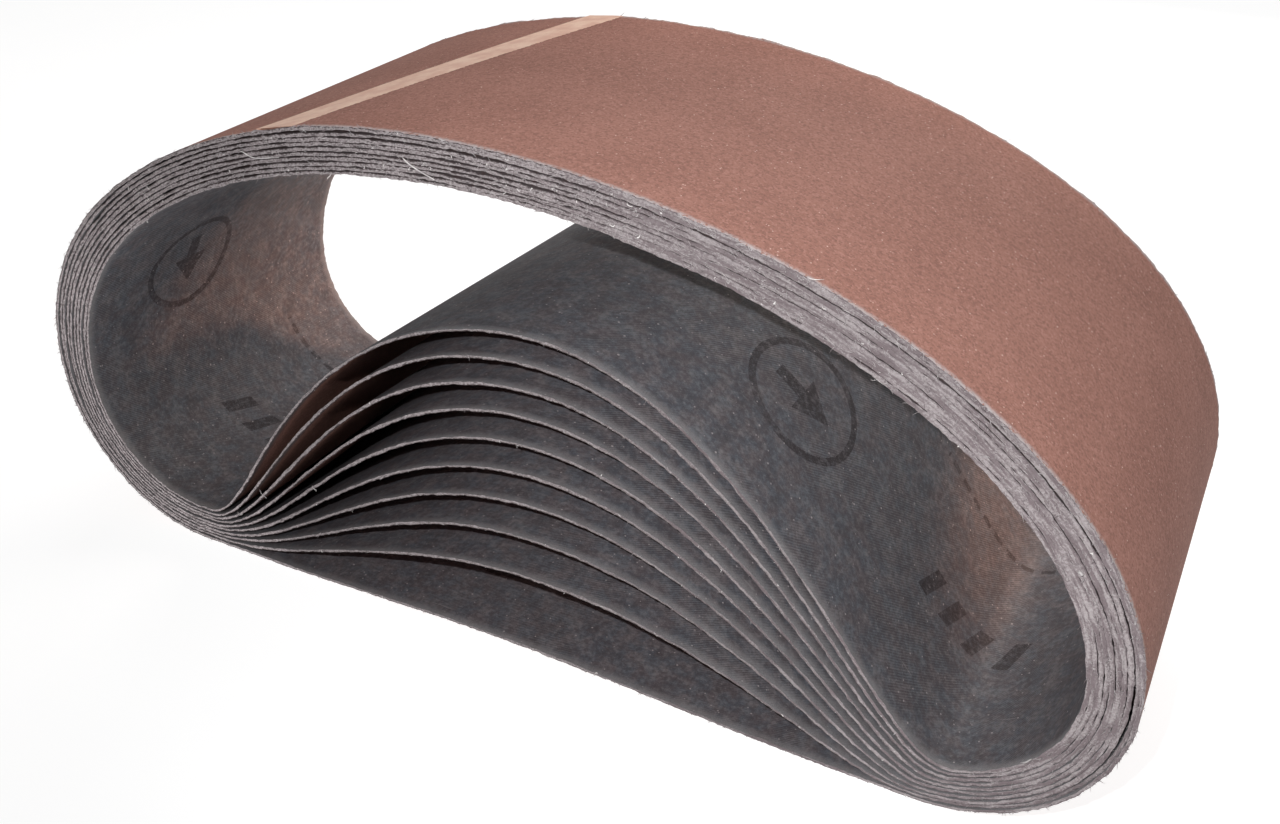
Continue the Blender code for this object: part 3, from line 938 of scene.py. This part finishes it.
def edge_material():
    """Cut edge: ragged pale cloth fibres over most of the depth, a dark line of grit outside, with
    painted light and shade by place: lighter on the left, darker towards the top, on the right and
    in the fan.
    """
    nodes = Nodes("cut_edge")
    along = nodes.math("MULTIPLY", nodes.uv("cut")[0], MILLIMETRES)
    depth = nodes.uv("cut")[1]
    x, _, z = nodes.split(nodes.add("ShaderNodeTexCoord").outputs["Object"])
    pressed = nodes.ramp(x, PRESSED_FROM, EDGE_PRESSED_FULL)
    loose = nodes.math("SUBTRACT", 1.0, pressed)
    streak = nodes.vector(nodes.math("MULTIPLY", along, 0.45), nodes.math("MULTIPLY", depth, 1.5))
    coarse = nodes.noise(streak, 1.5, 3.0, 0.7)
    fine = nodes.noise(nodes.vector(along, nodes.math("MULTIPLY", depth, 0.9)), 2.4, 3.0, 0.75)
    stretched = nodes.vector(nodes.math("MULTIPLY", along, 0.16), depth)
    long_wave = nodes.noise(stretched, 1.0, 3.0, 0.6)
    level = nodes.math("MULTIPLY_ADD", nodes.math("SUBTRACT", fine, 0.5), 0.8, depth)
    colour = nodes.mix(nodes.ramp(fine, 0.36, 0.62), EDGE_CLOTH, EDGE_PALE)
    torn = nodes.math("MULTIPLY", nodes.ramp(coarse, 0.32, 0.48, 1.0, 0.0),
                      nodes.math("MULTIPLY_ADD", loose, 0.70, 0.22))
    colour = nodes.mix(torn, colour, EDGE_DARK)
    dull = nodes.math("MULTIPLY", pressed, nodes.ramp(long_wave, 0.40, 0.58, 0.85, 0.0))
    colour = nodes.mix(dull, colour, EDGE_MAUVE)
    pale = nodes.math("MULTIPLY", pressed, nodes.ramp(long_wave, 0.54, 0.66, 0.0, 0.6))
    colour = nodes.mix(pale, colour, EDGE_PALE)
    grit = nodes.math("MULTIPLY", nodes.ramp(level, 0.12, 0.34, 1.0, 0.0),
                      nodes.math("MULTIPLY_ADD", loose, 0.58, 0.32))
    colour = nodes.mix(grit, colour, EDGE_GRIT)
    tuft = nodes.math("MULTIPLY", nodes.ramp(fine, 0.54, 0.66), nodes.ramp(long_wave, 0.42, 0.58))
    colour = nodes.mix(nodes.math("MULTIPLY", tuft, 0.85), colour, FIBRE)
    colour = nodes.mix(nodes.math("MULTIPLY", pressed, 0.35), colour, EDGE_EVEN)
    # Painted shade: the front edges in the fan are painted darker
    in_fan = nodes.math("MULTIPLY", nodes.ramp(x, *FAN_LEFT), nodes.ramp(x, *FAN_RIGHT, 1.0, 0.0))
    in_fan = nodes.math("MULTIPLY", in_fan, nodes.ramp(z, *FAN_TOP, 1.0, 0.0))
    # Painted light and shade: the front edges are painted lighter on the left and darker towards
    # the top and on the right
    tone = nodes.math("MULTIPLY", nodes.ramp(x, *PAINTED_LIGHT_ON_LEFT), nodes.ramp(z, *PAINTED_SHADE_ON_TOP))
    tone = nodes.math("MULTIPLY", tone, nodes.math("MULTIPLY_ADD", in_fan, FAN_PAINTED_SHADE, 1.0))
    tone = nodes.math("MULTIPLY", tone, nodes.ramp(x, *PAINTED_SHADE_ON_RIGHT))
    painted_shading = nodes.add("ShaderNodeVectorMath", colour, operation="SCALE")
    nodes.feed(painted_shading.inputs["Scale"], tone)
    nodes.bump(nodes.math("ADD", fine, coarse), 0.00022, 0.9)
    return nodes.finish(painted_shading.outputs[0], 0.9, 0.2)


def fibre_material(name, dark, light):
    """Loose pale cotton fibres."""
    nodes = Nodes(name)
    place = nodes.add("ShaderNodeTexCoord").outputs["Object"]
    tone = nodes.noise(place, 500.0, 2.0, 0.5)
    colour = nodes.mix(nodes.ramp(tone, 0.35, 0.65), dark, light)
    return nodes.finish(colour, 0.8, 0.25)


def splice_material():
    """Bare pinkish cloth of the joint's skived end."""
    nodes = Nodes("splice_cloth")
    place = nodes.add("ShaderNodeTexCoord").outputs["Object"]
    tone = nodes.noise(place, 260.0, 3.0, 0.6)
    weave = nodes.noise(place, 2600.0, 2.0, 0.6)
    colour = nodes.mix(nodes.ramp(tone, 0.3, 0.7), SPLICE, SPLICE_PALE)
    colour = nodes.mix(nodes.ramp(weave, 0.3, 0.5, 0.3, 0.0), colour, SPLICE)
    nodes.bump(weave, 0.00004, 0.5)
    return nodes.finish(colour, 0.62, 0.3)


# The lap's end: how it lies on the belt, its toothed side and its slight curl
SPLICE_SEED = 77
LAP_STEPS = 9
LAP_ROWS = 150
LAP_OVERHANG = 0.0001
LAP_CLEARANCE = 0.00003
LAP_THICKNESS = 0.00026
LAP_EDGE = 0.00003
LAP_CURL = 0.00012
CURL_REACH = 0.004
TOOTH_PITCH = 0.0011
TOOTH_DEPTH = 0.00045
TOOTH_NOISE = 0.00008
TOOTH_SPREAD = 0.05
TOOTH_INSET = 0.0003


def splice_piece(belt, material):
    """The bare lapped end of the outermost belt's joint: a clean edge and a toothed edge."""
    rng = np.random.default_rng(SPLICE_SEED)
    across = np.linspace(-LAP_OVERHANG, BELT_WIDTH + LAP_OVERHANG, LAP_ROWS)
    start = SPLICE_START + SPLICE_SLANT * across
    uneven = rng.normal(0, TOOTH_SPREAD, LAP_ROWS)
    teeth = np.abs((across / TOOTH_PITCH + uneven) % 1.0 - 0.5) * 2 * TOOTH_DEPTH
    end = start + SPLICE_WIDTH - TOOTH_INSET + teeth + rng.normal(0, TOOTH_NOISE, LAP_ROWS)
    curl = LAP_CURL * np.exp(-np.clip(across, 0, None) / CURL_REACH)
    shares = np.linspace(0.0, 1.0, LAP_STEPS)

    def row(share, over):
        """Points from edge to edge at a share of the lap's width, over its underside."""
        lifted = SPLICE_LIFT * smooth_step(share, 0.0, 1.0)
        height = LAP_CLEARANCE + lifted + curl * (1 - share) ** 2 + over
        return belt.place(start + (end - start) * share, across, height)

    layers = [row(share, LAP_THICKNESS * (1 - share) + LAP_EDGE) for share in shares]
    layers += [row(share, 0.0) for share in shares[::-1]]
    points = np.stack(layers, axis=1)
    count = len(layers)
    step = np.arange(LAP_ROWS - 1)[:, None]
    place = np.arange(count)[None, :]
    after = (place + 1) % count
    faces = np.stack([step * count + place, (step + 1) * count + place,
                      (step + 1) * count + after, step * count + after], axis=-1).reshape(-1, 4)
    return mesh_object("splice_strip", points.reshape(-1, 3), faces, [material], sharp=35)


FLOOR_SIZE = 12.0
FLOOR_DROP = 0.0004
FLOOR_GLOW = 0.88
WORLD_STRENGTH = 0.16
PACK_MIDDLE = (0.0, 0.0, 0.05)
WARM_LIGHT = (1.0, 0.50, 0.30)
LAMPS = {
    # Beside the lens: it gives the thin shadow right behind each edge
    "lens_lamp": dict(
        kind="SPOT", place=(0.088, -0.1857, 0.1742), target=(0.045, 0.0, 0.05), power=1.60,
        spot_size=math.radians(84), spot_blend=1.0, shadow_soft_size=0.0016),
    "top_lamp": dict(
        kind="AREA", place=(-0.05, 0.30, 0.55), target=PACK_MIDDLE, power=1.0,
        shape="DISK", size=0.5),
    # Warm light on the back part of the left turn's inside
    "back_lamp": dict(
        kind="SPOT", place=(0.50, 0.27, 0.25), target=(-0.098, 0.032, 0.036), power=26.0,
        colour=WARM_LIGHT, spot_size=math.radians(7.5), spot_blend=1.0, shadow_soft_size=0.045),
    # Warm light on the back part of the right slope of the fan
    "valley_lamp": dict(
        kind="SPOT", place=(0.17, 0.45, 0.25), target=(0.0740, 0.029, 0.0195), power=15.0,
        colour=WARM_LIGHT, spot_size=math.radians(3.9), spot_blend=1.0, shadow_soft_size=0.008),
    "back_panel": dict(
        kind="AREA", place=(0.05, 0.42, 0.24), target=PACK_MIDDLE, power=1.15,
        colour=(1.0, 0.90, 0.82), shape="DISK", size=0.3),
}
CAMERA_PLACE = (0.1077, -0.18425, 0.15924)
CAMERA_TURN = (55.988, 1.449, 29.367)
CAMERA_LENS = 35.07
CAMERA_SHIFT = (0.0319, 0.0554)


def add_lamp(name, kind, place, target, power, colour=(1.0, 1.0, 1.0), **settings):
    """A light that points at a target."""
    data = bpy.data.lights.new(name, kind)
    data.energy = power
    data.color = colour
    for key, value in settings.items():
        setattr(data, key, value)
    light = bpy.data.objects.new(name, data)
    light.location = place
    light.rotation_euler = (Vector(target) - Vector(place)).to_track_quat("-Z", "Y").to_euler()
    bpy.context.scene.collection.objects.link(light)


def stage():
    """Plain pale floor, soft studio light and the photo's camera."""
    half = FLOOR_SIZE / 2
    corners = [(-half, -half, 0), (half, -half, 0), (half, half, 0), (-half, half, 0)]
    nodes = Nodes("pale_floor")
    speck = nodes.noise(nodes.add("ShaderNodeTexCoord").outputs["Object"], 40.0, 3.0, 0.6)
    tone = nodes.mix(speck, FLOOR_DARK, FLOOR_LIGHT)
    nodes.feed(nodes.shader.inputs["Emission Color"], WHITE)
    nodes.shader.inputs["Emission Strength"].default_value = FLOOR_GLOW
    floor = mesh_object("floor", corners, [(0, 1, 2, 3)], [nodes.finish(tone, 0.8, 0.1)])
    floor.location.z = cad_box[0][2] - FLOOR_DROP

    world = bpy.data.worlds.new("studio")
    world.use_nodes = True
    background = world.node_tree.nodes["Background"]
    background.inputs["Color"].default_value = WHITE
    background.inputs["Strength"].default_value = WORLD_STRENGTH
    bpy.context.scene.world = world
    bpy.context.scene.view_settings.view_transform = "Standard"

    for name, settings in LAMPS.items():
        add_lamp(name, **settings)

    data = bpy.data.cameras.new("camera")
    data.lens = CAMERA_LENS
    data.sensor_width = 36.0
    data.shift_x, data.shift_y = CAMERA_SHIFT
    data.clip_start = 0.01
    camera = bpy.data.objects.new("camera", data)
    camera.location = CAMERA_PLACE
    camera.rotation_euler = [math.radians(angle) for angle in CAMERA_TURN]
    bpy.context.scene.collection.objects.link(camera)
    bpy.context.scene.camera = camera


def ride(piece):
    """Puts a piece on the one body."""
    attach(piece, "root")


def main():
    """The whole scene: the stage, the belts with their fibres, the splice and the threads."""
    stage()
    grit, cloth, cut = grit_material(), cloth_material(), edge_material()
    fibre = fibre_material("edge_fibre", EDGE_CLOTH, FIBRE)
    thread = fibre_material("loose_thread", FIBRE, THREAD)
    belts = [Belt(index) for index in range(BELT_COUNT)]
    for belt in belts:
        piece = belt_piece(belt, [grit, cloth, cut])
        ride(piece)
        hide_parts(f"belt_{belt.index + 1:02d}")
        fibres = fray(belt, fibre)
        ride(fibres)
    strip = splice_piece(belts[0], splice_material())
    loose = threads("loose_threads", front_lines(LOOSE_THREADS) + knot_lines(belts), thread)
    torn = threads("torn_bits", front_lines(TORN_BITS), fibre)
    for piece in (strip, loose, torn):
        ride(piece)


main()
